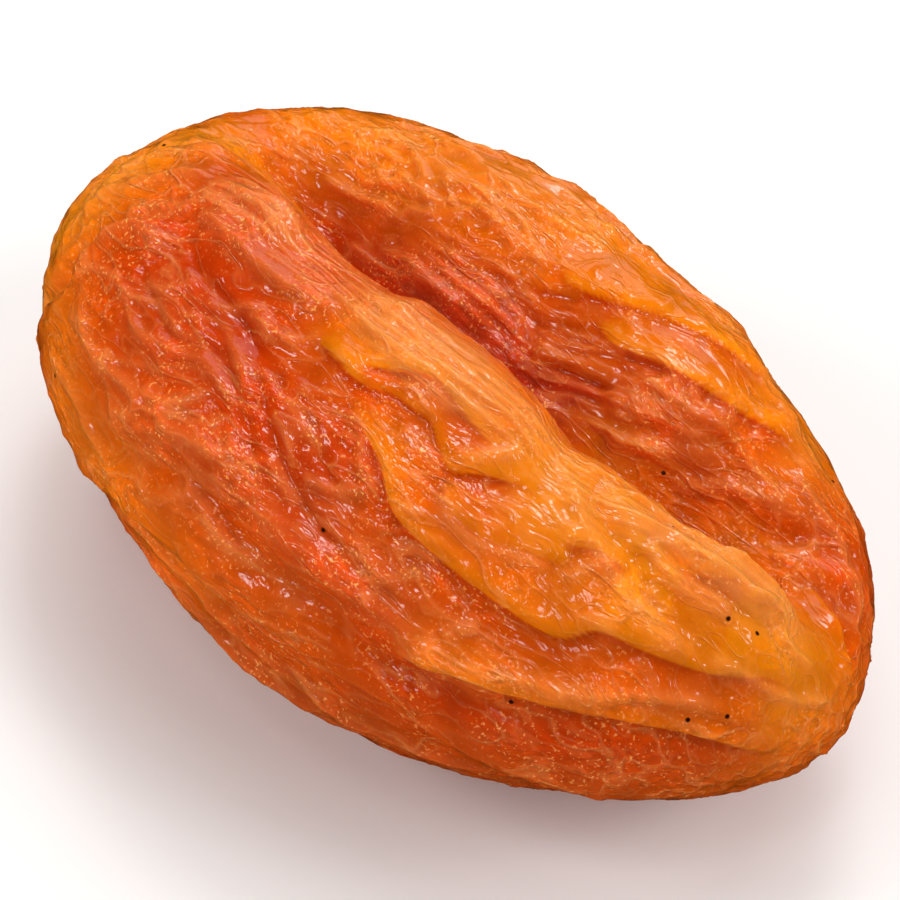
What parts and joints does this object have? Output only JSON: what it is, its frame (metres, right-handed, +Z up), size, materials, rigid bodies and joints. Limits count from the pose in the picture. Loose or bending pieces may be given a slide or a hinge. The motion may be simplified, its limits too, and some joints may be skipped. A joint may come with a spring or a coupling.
{
  "type": "whole pitted dried apricot",
  "caption": "Dried, pitted apricot: one oval, wrinkled, glossy amber fruit with a deep groove along its top, lying on its belly.",
  "frame": {"origin": "on the flat spot of the belly that the fruit rests on, under the middle of its length and width", "axes": "+X along the fruit towards its pointed tip, +Y towards the lower, far lip of the groove, +Z up out of the groove"},
  "size_m": [0.0421, 0.0254, 0.0188],
  "materials": {
    "dried_flesh": "glossy, translucent dried fruit skin and flesh, amber on the lips to red-orange in the groove"
  },
  "bodies": {
    "root": {"apricot": "dried_flesh"}
  },
  "joints": []
}
